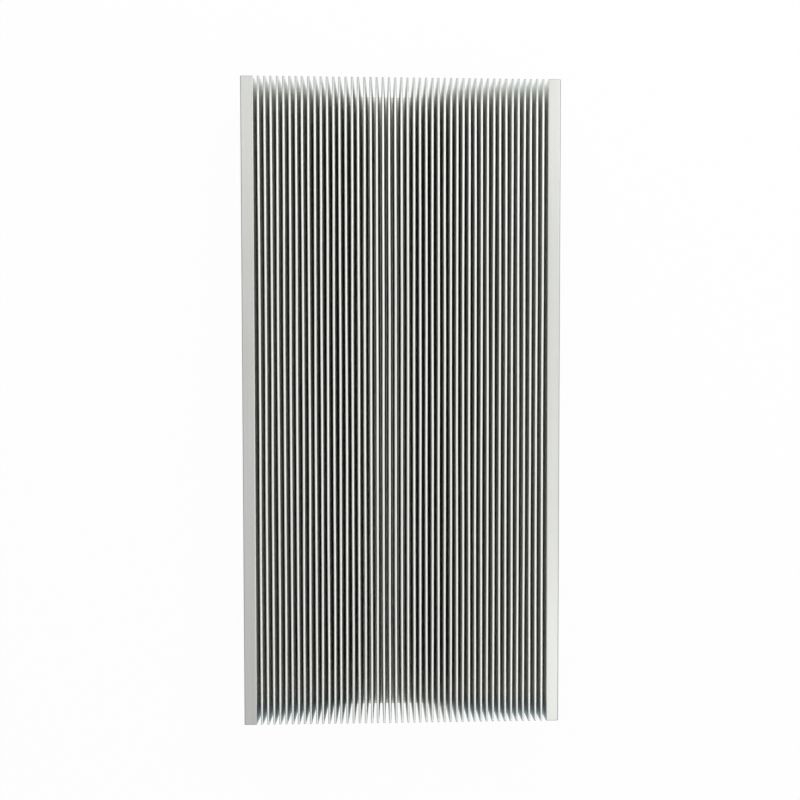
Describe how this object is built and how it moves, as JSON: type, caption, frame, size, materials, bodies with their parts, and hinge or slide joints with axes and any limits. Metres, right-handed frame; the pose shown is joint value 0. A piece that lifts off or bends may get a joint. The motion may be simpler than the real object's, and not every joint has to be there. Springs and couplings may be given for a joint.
{
  "type": "extruded heat sink",
  "caption": "Extruded aluminium heat sink: flat base plate, a dense comb of thin tapered fins with rounded tips, and a thick full-height rail down each long side.",
  "frame": {"origin": "middle of the flat underside of the base plate", "axes": "+Z out of the fin tips, Y along the extrusion, X across the fins"},
  "size_m": [0.2, 0.406, 0.03],
  "materials": {
    "aluminium": "satin mill finish, with fine die lines along the extrusion and saw-cut ends"
  },
  "bodies": {
    "root": {"heat_sink": "aluminium"}
  },
  "joints": []
}
